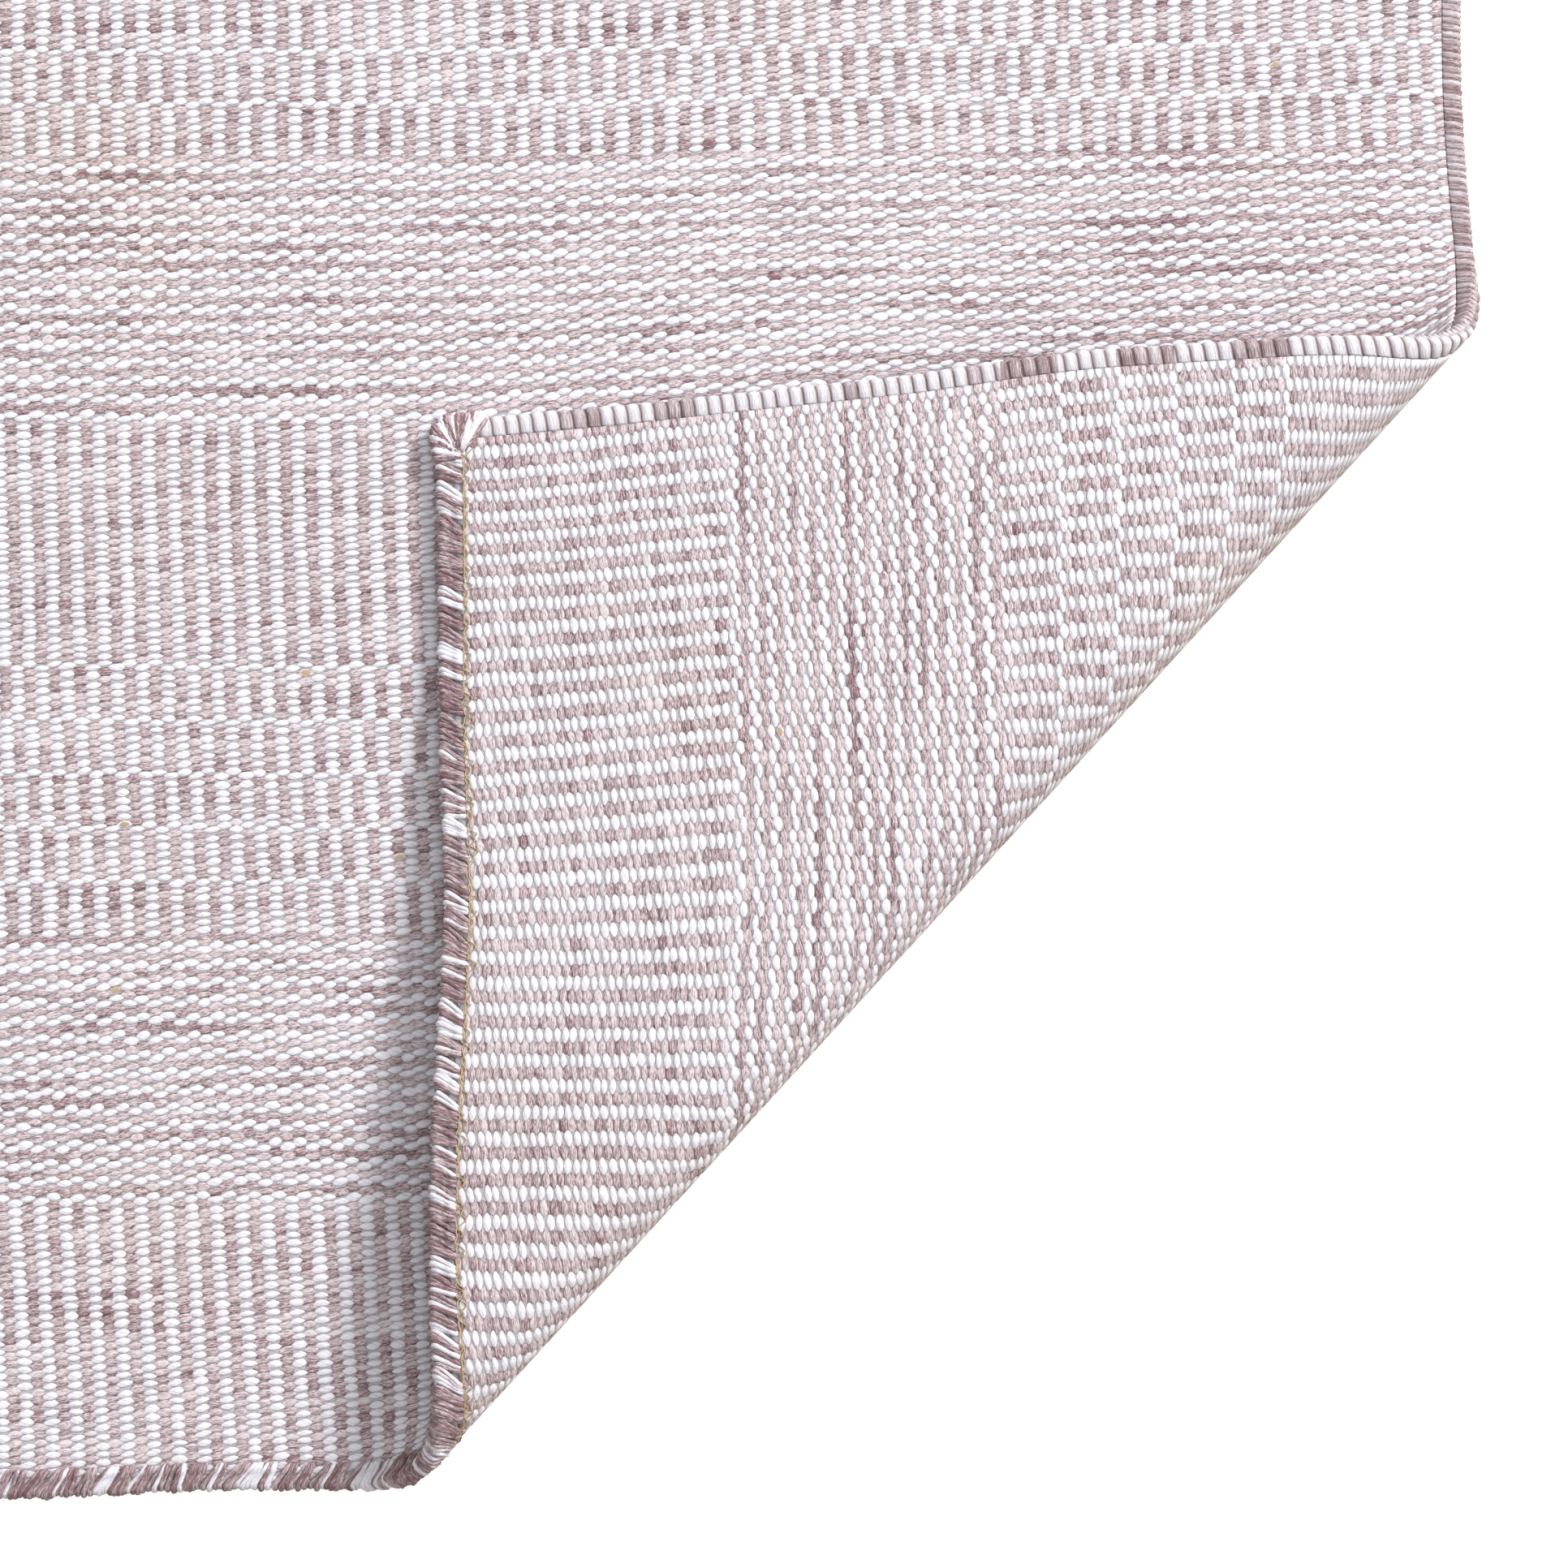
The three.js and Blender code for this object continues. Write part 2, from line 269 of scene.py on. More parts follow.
def newGroup(name, inputs, outputs):
    tree = bpy.data.node_groups.new(name, "ShaderNodeTree")
    for label in inputs:
        tree.interface.new_socket(label, in_out="INPUT", socket_type="NodeSocketFloat")
    for label, kind in outputs.items():
        tree.interface.new_socket(label, in_out="OUTPUT", socket_type=kind)
    start = tree.nodes.new("NodeGroupInput")
    return tree, {label: start.outputs[label] for label in inputs}, tree.nodes.new("NodeGroupOutput")


def noise(tree, values, x, y, z, detail=2.0, rough=0.6):
    place = addNode(tree, "ShaderNodeCombineXYZ", {0: values[x], 1: values[y], 2: values[z]})
    made = addNode(tree, "ShaderNodeTexNoise", {
        "Vector": place.outputs[0], "Scale": 1.0, "Detail": detail, "Roughness": rough,
    })
    return made.outputs[0]


yarn = {
    "ivory": "#f5f2f8",
    "ivoryShade": "#d2ccd6",
    "mauveLight": "#e4dadd",
    "mauveMid": "#c0adb1",
    "mauveDark": "#86666a",
    "tan": "#bda680",
    "cream": "#fdf9f3",
    "shadedSlit": "#9c8782",
}


# Spun yarn: ivory, or a melange of mauve fibres, deeper by the depth given. Long thin
# noise along the yarn gives the eye single fibres, a slower noise the uneven dyeing
def makeYarnGroup():
    tree, v, out = newGroup(
        "spun yarn", ["tone", "along", "across", "seed", "depth"],
        {"Colour": "NodeSocketColor", "Relief": "NodeSocketFloat"},
    )
    runSteps(tree, v, [
        ("fibreX", "MULTIPLY", "along", 0.70),
        ("fibreY", "MULTIPLY", "across", 4.2),
        ("fibreZ", "MULTIPLY", "seed", 1.73),
        ("patchX", "MULTIPLY", "along", 0.11),
        ("patchY", "MULTIPLY", "across", 0.7),
        ("patchZ", "MULTIPLY", "seed", 0.61),
        ("slubX", "MULTIPLY", "along", 0.014),
        ("slubY", "MULTIPLY", "seed", 0.33),
        ("zero", "MULTIPLY", "seed", 0.0),
    ])
    v["fibre"] = noise(tree, v, "fibreX", "fibreY", "fibreZ", 3.0, 0.72)
    v["patch"] = noise(tree, v, "patchX", "patchY", "patchZ", 1.0)
    v["slub"] = noise(tree, v, "slubX", "slubY", "zero", 2.0, 0.66)
    runSteps(tree, v, [
        ("a", "MULTIPLY_ADD", "fibre", 1.50, -0.645),
        ("b", "MULTIPLY_ADD", "patch", 0.42, "a"),
        ("c", "MULTIPLY_ADD", "slub", 0.72, "b"),
        ("mix", "SUBTRACT", "c", "depth"),
        # a thin line of painted shade along the groove between the two plies, on the ivory
        ("plyPlace", "MULTIPLY_ADD", "along", 0.9, "seed"),
        ("plyTurn", "MULTIPLY_ADD", "across", 1.9, "plyPlace"),
        ("plySine", "SINE", "plyTurn"),
        ("plySize", "ABSOLUTE", "plySine"),
        ("ply", "LESS_THAN", "plySize", 0.16),
        ("ivoryMix", "MULTIPLY_ADD", "ply", -0.30, "fibre"),
    ])
    mauve = addNode(tree, "ShaderNodeValToRGB", {0: v["mix"]})
    ramp = mauve.color_ramp
    ramp.elements[0].position, ramp.elements[0].color = 0.46, linear(yarn["mauveDark"])
    ramp.elements[1].position, ramp.elements[1].color = 0.84, linear(yarn["mauveLight"])
    ramp.elements.new(0.64).color = linear(yarn["mauveMid"])
    # the ivory darkens towards its dark end on darker fibres at random, and on the painted shade of the ply
    # line
    ivory = addNode(tree, "ShaderNodeValToRGB", {0: v["ivoryMix"]})
    ramp = ivory.color_ramp
    ramp.elements[0].position, ramp.elements[0].color = 0.20, linear(yarn["ivoryShade"])
    ramp.elements[1].position, ramp.elements[1].color = 0.56, linear(yarn["ivory"])
    both = mixColours(tree, v["tone"], ivory.outputs[0], mauve.outputs[0])
    tree.links.new(both, out.inputs["Colour"])
    tree.links.new(v["fibre"], out.inputs["Relief"])
    return tree


# Band pattern in picks, from the near end: plain pick-and-pick, then two and two,
# then rows of blocks whose odd count swaps the colours from row to row
bands = {"columns": 62, "streaks": 60, "blockRow": 13, "blockRows": 5}
bands["repeat"] = bands["columns"] + bands["streaks"] + bands["blockRow"] * bands["blockRows"]
bandLengths = [68.2, 68.3, 68.0, 62.0] + [67.2] * 11


# Colour of pick n, 0 ivory or 1 mauve
def makePickGroup():
    tree, v, out = newGroup("pick colour", ["pick"], {"Tone": "NodeSocketFloat"})
    streakStart = bands["columns"]
    blockStart = bands["columns"] + bands["streaks"]
    runSteps(tree, v, [
        ("q", "FLOORED_MODULO", "pick", bands["repeat"]),
        ("pair", "FLOORED_MODULO", "q", 2.0),
        ("inStreak", "SUBTRACT", "q", streakStart),
        ("four", "FLOORED_MODULO", "inStreak", 4.0),
        ("streak", "GREATER_THAN", "four", 1.5),
        ("inBlock", "SUBTRACT", "q", blockStart),
        ("row", "FLOORED_MODULO", "inBlock", bands["blockRow"]),
        ("block", "FLOORED_MODULO", "row", 2.0),
        ("isStreak", "GREATER_THAN", "q", streakStart - 0.5),
        ("isBlock", "GREATER_THAN", "q", blockStart - 0.5),
        ("d1", "SUBTRACT", "streak", "pair"),
        ("low", "MULTIPLY_ADD", "d1", "isStreak", "pair"),
        ("d2", "SUBTRACT", "block", "low"),
        ("tone", "MULTIPLY_ADD", "d2", "isBlock", "low"),
    ])
    tree.links.new(v["tone"], out.inputs["Tone"])
    return tree


stitch = {
    "slants": (0.40, -0.24),
    "halfWidths": (0.66, 0.62),
    "halfHeight": 0.93,
    "widthSpread": 0.14,
    "heightSpread": 0.30,
    "placeSpread": 0.40,
    "point": 1.3,
    "fleck": 0.9994,
}


# One weft stitch over one warp: the pick nearest to p whose parity is the column's. Its
# height is sqrt(1 - |ex|^1.3 - ey^2), a slanted lens with pointed ends
def makeStitchGroup():
    tree, v, out = newGroup("weft stitch", ["column", "lx", "p", "side", "slant", "long"], {
        "Height": "NodeSocketFloat", "Pick": "NodeSocketFloat", "Ly": "NodeSocketFloat",
        "Tone": "NodeSocketFloat", "Fleck": "NodeSocketFloat",
    })
    runSteps(tree, v, [
        ("k", "ADD", "column", "side"),
        ("lean", "MULTIPLY", "lx", "slant"),
        ("slanted", "SUBTRACT", "p", "lean"),
        ("local", "SUBTRACT", "slanted", 0.5),
        ("shifted", "ADD", "local", "k"),
        ("half", "MULTIPLY", "shifted", 0.5),
        ("near", "ROUND", "half"),
        ("twice", "MULTIPLY", "near", 2.0),
        ("pick", "SUBTRACT", "twice", "k"),
        ("ly", "SUBTRACT", "local", "pick"),
    ])
    seed = addNode(tree, "ShaderNodeCombineXYZ", {0: v["column"], 1: v["pick"]})
    random = addNode(tree, "ShaderNodeTexWhiteNoise", {"Vector": seed.outputs[0]}, noise_dimensions="3D")
    parts = addNode(tree, "ShaderNodeSeparateColor", {0: random.outputs["Color"]})
    v["r1"], v["r2"], v["r3"] = parts.outputs
    v["tone"] = addNode(tree, "ShaderNodeGroup", {"pick": v["pick"]}, node_tree=pickGroup).outputs[0]
    runSteps(tree, v, [
        ("wide", "MULTIPLY_ADD", "r1", stitch["widthSpread"], "long"),
        ("tall", "MULTIPLY_ADD", "r2", stitch["heightSpread"],
         stitch["halfHeight"] - stitch["heightSpread"] / 2),
        ("off", "MULTIPLY_ADD", "r3", stitch["placeSpread"], -stitch["placeSpread"] / 2),
        ("lyOff", "ADD", "ly", "off"),
        ("ex", "DIVIDE", "lx", "wide"),
        ("exSize", "ABSOLUTE", "ex"),
        ("exPower", "POWER", "exSize", stitch["point"]),
        ("ey", "DIVIDE", "lyOff", "tall"),
        ("e2", "MULTIPLY_ADD", "ey", "ey", "exPower"),
        ("rest", "SUBTRACT", 1.0, "e2"),
        ("dome", "MAXIMUM", "rest", 0.0),
        ("round", "SQRT", "dome"),
        ("plump", "MULTIPLY_ADD", "tone", -0.08, 1.0),
        ("height", "MULTIPLY", "round", "plump"),
        ("fleck", "GREATER_THAN", "r1", stitch["fleck"]),
    ])
    for label in ("Height", "Pick", "Ly", "Tone", "Fleck"):
        tree.links.new(v[label.lower()], out.inputs[label])
    return tree


yarnGroup, pickGroup = makeYarnGroup(), makePickGroup()
stitchGroup = makeStitchGroup()
weaveScale = {"column": 3.175, "pick": 1.08, "relief": 0.54, "mauveLow": 0.38, "fibreRelief": 0.22}


def newMaterial(name):
    material = bpy.data.materials.new(name)
    material.use_nodes = True
    tree = material.node_tree
    tree.nodes.clear()
    return material, tree


# Matte cloth finish: colour and relief in mm to the surface
def finishCloth(tree, colour, height):
    bump = addNode(tree, "ShaderNodeBump", {"Strength": 1.0, "Distance": mm, "Height": height})
    shader = addNode(tree, "ShaderNodeBsdfPrincipled", {
        "Base Color": colour, "Roughness": 0.92, "Specular IOR Level": 0.12,
        "Sheen Weight": 0.12, "Sheen Roughness": 0.5, "Normal": bump.outputs[0],
    })
    addNode(tree, "ShaderNodeOutputMaterial", {"Surface": shader.outputs[0]})


# Handloom weft-faced weave of spun yarn, side 0 for the front and 1 for the back, where
# the other picks show. Domed stitches with painted shade in the gaps between them give the eye the loom's
# grain
def makeWeaveMaterial(name, side):
    material, tree = newMaterial(name)
    v = dict(zip("ut", uvParts(tree, "weave")))
    runSteps(tree, v, [
        ("x", "MULTIPLY", "u", weaveScale["column"]),
        ("y", "MULTIPLY", "t", weaveScale["pick"]),
        ("wanderX", "MULTIPLY", "x", 0.14),
        ("wanderY", "MULTIPLY", "y", 0.14),
        ("level", "MULTIPLY", "x", 0.0),
        ("wanderZ", "ADD", "level", 7.3),
    ])
    v["wobbleX"] = noise(tree, v, "wanderX", "wanderY", "level", 0.0)
    v["wobbleY"] = noise(tree, v, "wanderX", "wanderY", "wanderZ", 0.0)
    runSteps(tree, v, [
        ("cJitter", "MULTIPLY_ADD", "wobbleX", 0.30, "u"),
        ("c", "SUBTRACT", "cJitter", 0.15),
        ("pJitter", "MULTIPLY_ADD", "wobbleY", 1.2, "t"),
        ("p", "SUBTRACT", "pJitter", 0.6),
        ("column", "FLOOR", "c"),
        ("cFrac", "SUBTRACT", "c", "column"),
        ("lx", "SUBTRACT", "cFrac", 0.5),
        ("sign", "SIGN", "lx"),
        ("nextColumn", "ADD", "column", "sign"),
        ("nextLx", "SUBTRACT", "lx", "sign"),
    ])
    own = addNode(tree, "ShaderNodeGroup", node_tree=stitchGroup)
    near = addNode(tree, "ShaderNodeGroup", node_tree=stitchGroup)
    for made, column, lx in ((own, "column", "lx"), (near, "nextColumn", "nextLx")):
        for label, socket in (("column", v[column]), ("lx", v[lx]), ("p", v["p"])):
            tree.links.new(socket, made.inputs[label])
        made.inputs["side"].default_value = side
        made.inputs["slant"].default_value = stitch["slants"][int(side)]
        made.inputs["long"].default_value = (
            stitch["halfWidths"][int(side)] - stitch["widthSpread"] / 2)
    labels = ("Height", "Pick", "Ly", "Tone", "Fleck")
    v.update({f"own{label}": own.outputs[label] for label in labels})
    v.update({f"near{label}": near.outputs[label] for label in labels})
    runSteps(tree, v, [
        ("isNear", "GREATER_THAN", "nearHeight", "ownHeight"),
        ("height", "MAXIMUM", "nearHeight", "ownHeight"),
    ])
    for label in labels[1:]:
        runSteps(tree, v, [
            ("step" + label, "SUBTRACT", "near" + label, "own" + label),
            (label.lower(), "MULTIPLY_ADD", "step" + label, "isNear", "own" + label),
        ])
    runSteps(tree, v, [
        ("seed", "ADD", "pick", 400.5 + 0.37 * side),
        ("raised", "GREATER_THAN", "height", 0.72),
        ("speck", "MULTIPLY", "fleck", "raised"),
        ("ageX", "MULTIPLY", "x", 0.013),
        ("ageY", "MULTIPLY", "y", 0.013),
    ])
    v["ageNoise"] = noise(tree, v, "ageX", "ageY", "level", 0.0)
    runSteps(tree, v, [
        ("ageOver", "MULTIPLY_ADD", "ageNoise", 3.0, -1.65),
        ("age", "MAXIMUM", "ageOver", 0.0),
    ])
    spun = addNode(tree, "ShaderNodeGroup", {
        "tone": v["tone"], "along": v["x"], "across": v["ly"], "seed": v["seed"],
    }, node_tree=yarnGroup)
    # painted shade: the colour darkens as the stitch height falls, in the gaps between stitches
    paintedGapShade = addNode(tree, "ShaderNodeMapRange", {0: v["height"], 1: 0.02, 2: 0.50, 3: 0.58, 4: 1.0},
                  interpolation_type="SMOOTHSTEP")
    flecked = mixColours(tree, v["speck"], spun.outputs["Colour"], linear(yarn["tan"]))
    aged = mixColours(tree, v["age"], white, linear(yarn["cream"]), clamp_factor=True)
    toned = mixColours(tree, 1.0, flecked, aged, blend_type="MULTIPLY")
    shade = mixColours(tree, 1.0, toned, paintedGapShade.outputs[0], blend_type="MULTIPLY")
    v["fibre"] = spun.outputs["Relief"]
    runSteps(tree, v, [
        ("depth", "MULTIPLY_ADD", "tone", -weaveScale["mauveLow"] * weaveScale["relief"],
         weaveScale["relief"]),
        ("dome", "MULTIPLY", "height", "depth"),
        ("relief", "MULTIPLY_ADD", "fibre", weaveScale["fibreRelief"], "dome"),
    ])
    finishCloth(tree, shade, v["relief"])
    return material


# Loose roving or wrapped weft on the edges: fibres run along each strand, and the
# grooves between wrapped threads get painted shade, dark slits to the eye
def makeStrandMaterial(name, depth, grooveShaded=False):
    material, tree = newMaterial(name)
    along, across = uvParts(tree, "yarn")
    tone, seed = uvParts(tree, "dye")
    spun = addNode(tree, "ShaderNodeGroup", {
        "tone": tone, "along": along, "across": across, "seed": seed, "depth": depth,
    }, node_tree=yarnGroup)
    v = {"fibre": spun.outputs["Relief"]}
    runSteps(tree, v, [("relief", "MULTIPLY", "fibre", 0.35)])
    colour = spun.outputs["Colour"]
    # painted shade in the grooves between wrapped threads
    if grooveShaded:
        raised = uvParts(tree, "grooveShade")[0]
        shade = mixColours(tree, raised, linear(yarn["shadedSlit"]), white, clamp_factor=True)
        colour = mixColours(tree, 1.0, colour, shade, blend_type="MULTIPLY")
    finishCloth(tree, colour, v["relief"])
    return material


# Hard two-ply sewing thread of natural tan flax: plain colour with a slight sheen
def makeThreadMaterial(name):
    material, tree = newMaterial(name)
    v = dict(zip(("along", "round"), uvParts(tree, "yarn")))
    runSteps(tree, v, [
        ("turn", "MULTIPLY_ADD", "along", 5.0, "round"),
        ("ply", "SINE", "turn"),
        ("relief", "MULTIPLY", "ply", 0.05),
    ])
    finishCloth(tree, linear(yarn["tan"]), v["relief"])
    return material


weaveFront = makeWeaveMaterial("handloom weave front", 0.0)
weaveBack = makeWeaveMaterial("handloom weave back", 1.0)
roving = makeStrandMaterial("soft roving overcast", 0.15)
wrapped = makeStrandMaterial("wrapped weft selvedge", 0.06, grooveShaded=True)
flaxThread = makeThreadMaterial("flax sewing thread")
print("materials made")


field = {
    "halfWidth": 299.75,
    "halfLength": 456.2,
    "rimThickness": 2.3,
    "rimDepth": 6.8,
    "rimFull": 8.4,
    "fine": 2.2,
    "medium": 6.0,
    "coarse": 18.0,
    "endStep": 2.4,
    "rimStep": 0.5,
    "columnZones": (-80, 28),
    "rowZones": (-118, -60),
    "firstPick": 6.6,
    "gathered": 7.0,
    "gatherFrom": 46.0,
    "gatherOver": 100.0,
    "gatherFade": 50.0,
    "slackAt": (205.0, -425.0),
    "slackSpan": (36.0, 80.0),
    "slackLean": 0.06,
    "blockSpread": 4.5,
    "spreadFrom": 143.0,
    "spreadOver": 72.0,
    "pulledOver": 60.0,
    "columnWander": 0.35,
    "pickWander": 0.9,
}


# Grid lines from a list of stretches (start, end, step), each end met exactly
def gridLines(stretches):
    lines = [np.linspace(a, b, max(2, int(np.ceil(abs(b - a) / step)) + 1)) for a, b, step in stretches]
    return np.unique(np.round(np.concatenate(lines), 4))


# Distance from the near end. Past the fold the pulled rows lie closer near the end and
# further apart over the blocks
def clothDistance(x, y):
    plain = y + cloth["halfLength"]
    pulled = pullCloth(x, y)[1] - pullCloth(x, -cloth["halfLength"])[1]
    spread = field["blockSpread"] * np.clip((plain - field["spreadFrom"]) / field["spreadOver"], 0, 1)
    return plain + (pulled - plain - spread) * ease(pastFold(x, y) / field["pulledOver"])


# Pick number by the distance from the near end, each band with its own pick pitch
def pickNumber(distance):
    counts = [bands["columns"], bands["streaks"], bands["blockRow"] * bands["blockRows"]] * 5
    edges = np.concatenate([[0], np.cumsum(bandLengths)])
    picks = np.concatenate([[0], np.cumsum(counts)])
    start = distance - field["firstPick"]
    return np.where(start < 0, start * counts[0] / bandLengths[0], np.interp(start, edges, picks))


# Slow wander of the rows and columns: a sum of a few long sine waves
def wander(x, y, seed):
    random = np.random.RandomState(seed)
    total = np.zeros(np.broadcast(x, y).shape)
    for _ in range(7):
        length, heading = random.uniform(55, 170), random.uniform(0, 2 * np.pi)
        phase = random.uniform(0, 2 * np.pi)
        total += np.sin(2 * np.pi / length * (x * np.cos(heading) + y * np.sin(heading)) + phase)
    return total / 7


def makeField():
    f = field
    left, right = f["columnZones"]
    xs = gridLines([
        (-f["halfWidth"], left, f["coarse"]), (left, right, f["medium"]), (right, f["halfWidth"], f["fine"]),
    ])
    end = f["halfLength"]
    rim = cloth["halfLength"] - f["rimDepth"]
    full = cloth["halfLength"] - f["rimFull"]
    lower, upper = f["rowZones"]
    ys = gridLines([
        (-end, -rim, f["endStep"]), (-rim, -full, f["rimStep"]), (-full, lower, f["fine"]),
        (lower, upper, f["medium"]), (upper, full, f["coarse"]),
        (full, rim, f["rimStep"]), (rim, end, f["endStep"]),
    ])
    x, y = np.meshgrid(xs, ys)
    depth = cloth["halfLength"] - np.abs(y)
    pressed = 1 - ease((depth - f["rimDepth"]) / (f["rimFull"] - f["rimDepth"]))
    half = (cloth["thickness"] + (f["rimThickness"] - cloth["thickness"]) * pressed) / 2
    lift = floorLift(cloth["edgeThickness"], x, y) * pressed
    points = np.stack([layCloth(x, y, lift + half), layCloth(x, y, lift - half)])
    rows, columns = x.shape
    quads = gridQuads(rows, columns)
    triangles = np.concatenate([quads[:, [0, 1, 2]], quads[:, [0, 2, 3]]])
    under = triangles[:, ::-1] + rows * columns
    rimLoop = np.concatenate([
        np.arange(columns), np.arange(1, rows) * columns + columns - 1,
        (rows - 1) * columns + np.arange(columns - 2, -1, -1), np.arange(rows - 2, 0, -1) * columns,
    ])
    a, b = rimLoop, np.roll(rimLoop, -1)
    low = rows * columns
    walls = np.concatenate([np.stack([a, a + low, b + low], 1), np.stack([a, b + low, b], 1)])
    faces = np.concatenate([triangles, under, walls])
    side = np.concatenate([np.zeros(len(triangles)), np.ones(len(under)), np.zeros(len(walls))])
    # the columns gather towards the turned corner and open out over the rest of the flap
    gathered = f["gathered"] * nearness(y)**2
    gathered = gathered * ease((cloth["halfWidth"] - x) / f["gatherFade"])
    gathered = gathered * ease((x - f["gatherFrom"]) / f["gatherOver"])
    # and where the flap lies slack a patch of them turns a little
    across, along = x - f["slackAt"][0], y - f["slackAt"][1]
    patch = np.exp(-(across / f["slackSpan"][0])**2 - (along / f["slackSpan"][1])**2)
    gathered += f["slackLean"] * along * patch
    u = (x + f["halfWidth"] - gathered) / weaveScale["column"]
    u = u + f["columnWander"] * wander(x, y, 3)
    t = pickNumber(clothDistance(x, y)) + f["pickWander"] * wander(x, y, 8)
    uv = np.stack([u, t], axis=-1)
    isWall = np.arange(len(faces)) >= len(triangles) + len(under)
    piece = makePiece("woven_field", points, faces, {"weave": np.stack([uv, uv])},
                      [weaveFront, weaveBack], side, isWall)
    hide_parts("rug_field")
    return piece


wovenField = makeField()
print("field made", len(wovenField.data.polygons), "triangles")


overcast = {
    "pitch": 4.5,
    "reach": 7.9,
    "radius": 0.74,
    "flat": 0.90,
    "around": 8,
    "along": 20,
    "corner": 10,
    "cornerInset": 0.4,
    "cornerReach": (9.0, 9.9),
    "cornerRadius": 1.20,
    "cornerCount": 3,
    "cornerHigh": 0.4,
    "fan": (2, 122),
    "lean": 3.4,
    "counts": ((3, 4, 5), (0.25, 0.50, 0.25)),
    "ivory": ((0.05, 0.30, 0.65), (0.40, 0.45, 0.15)),
    "noseShare": 0.22,
    "noseLength": 1.75,
    "noseOut": 0.85,
    "high": 1.98,
    "shoulder": 0.62,
    "sunk": 1.7,
    "endGap": 0.15,
}


# Strands of the overcast on one end. Each is a tube carried along a path that starts
# sunk in the front face, runs out over the end's nose and returns to the back face;
# round the corners the stitches fan about one inner point
def overcastStrands(seed):
    o = overcast
    random = np.random.RandomState(seed)
    inner = cloth["halfWidth"] - o["reach"]
    stitches = int(2 * inner / o["pitch"])
    centre = np.linspace(-inner, inner, stitches) + random.uniform(-0.5, 0.5, stitches)
    corner = np.full(o["corner"], inner - o["cornerInset"])
    centre = np.concatenate([centre, -corner, corner])
    fan = np.linspace(*o["fan"], o["corner"])
    heading = np.radians(np.concatenate([np.zeros(stitches), -fan, fan]))
    reach = o["reach"] + random.uniform(-0.30, 0.25, len(centre))
    strands = random.choice(o["counts"][0], len(centre), p=o["counts"][1])
    strands[stitches:] = o["cornerCount"]
    which = np.repeat(np.arange(len(centre)), strands)
    order = np.arange(len(which)) - np.repeat(np.cumsum(strands) - strands, strands)
    spread = (order - (strands[which] - 1) / 2) / strands[which]
    reach = reach[which] - 0.8 * (2 * spread) ** 2 + random.uniform(-0.12, 0.12, len(which))
    ivoryShare = random.choice(o["ivory"][0], len(centre), p=o["ivory"][1])
    fanned = which >= stitches
    tone = random.uniform(size=len(which)) > ivoryShare[which]
    tone = np.where(fanned, np.mod(np.arange(len(which)), 5) > 1, tone).astype(float)
    lean = o["lean"] + random.normal(0, 0.7, len(centre))[which] + random.normal(0, 0.3, len(which))
    size = random.uniform(0.86, 1.14, len(which))
    return {
        "x": centre[which], "heading": heading[which], "spread": spread, "tone": tone,
        "reach": reach, "lean": lean, "fanned": fanned,
        "seed": random.uniform(0, 90, len(which)), "loose": random.uniform(-0.2, 0.26, len(which)),
        "radius": np.where(fanned, o["cornerRadius"], o["radius"]) * size,
    }


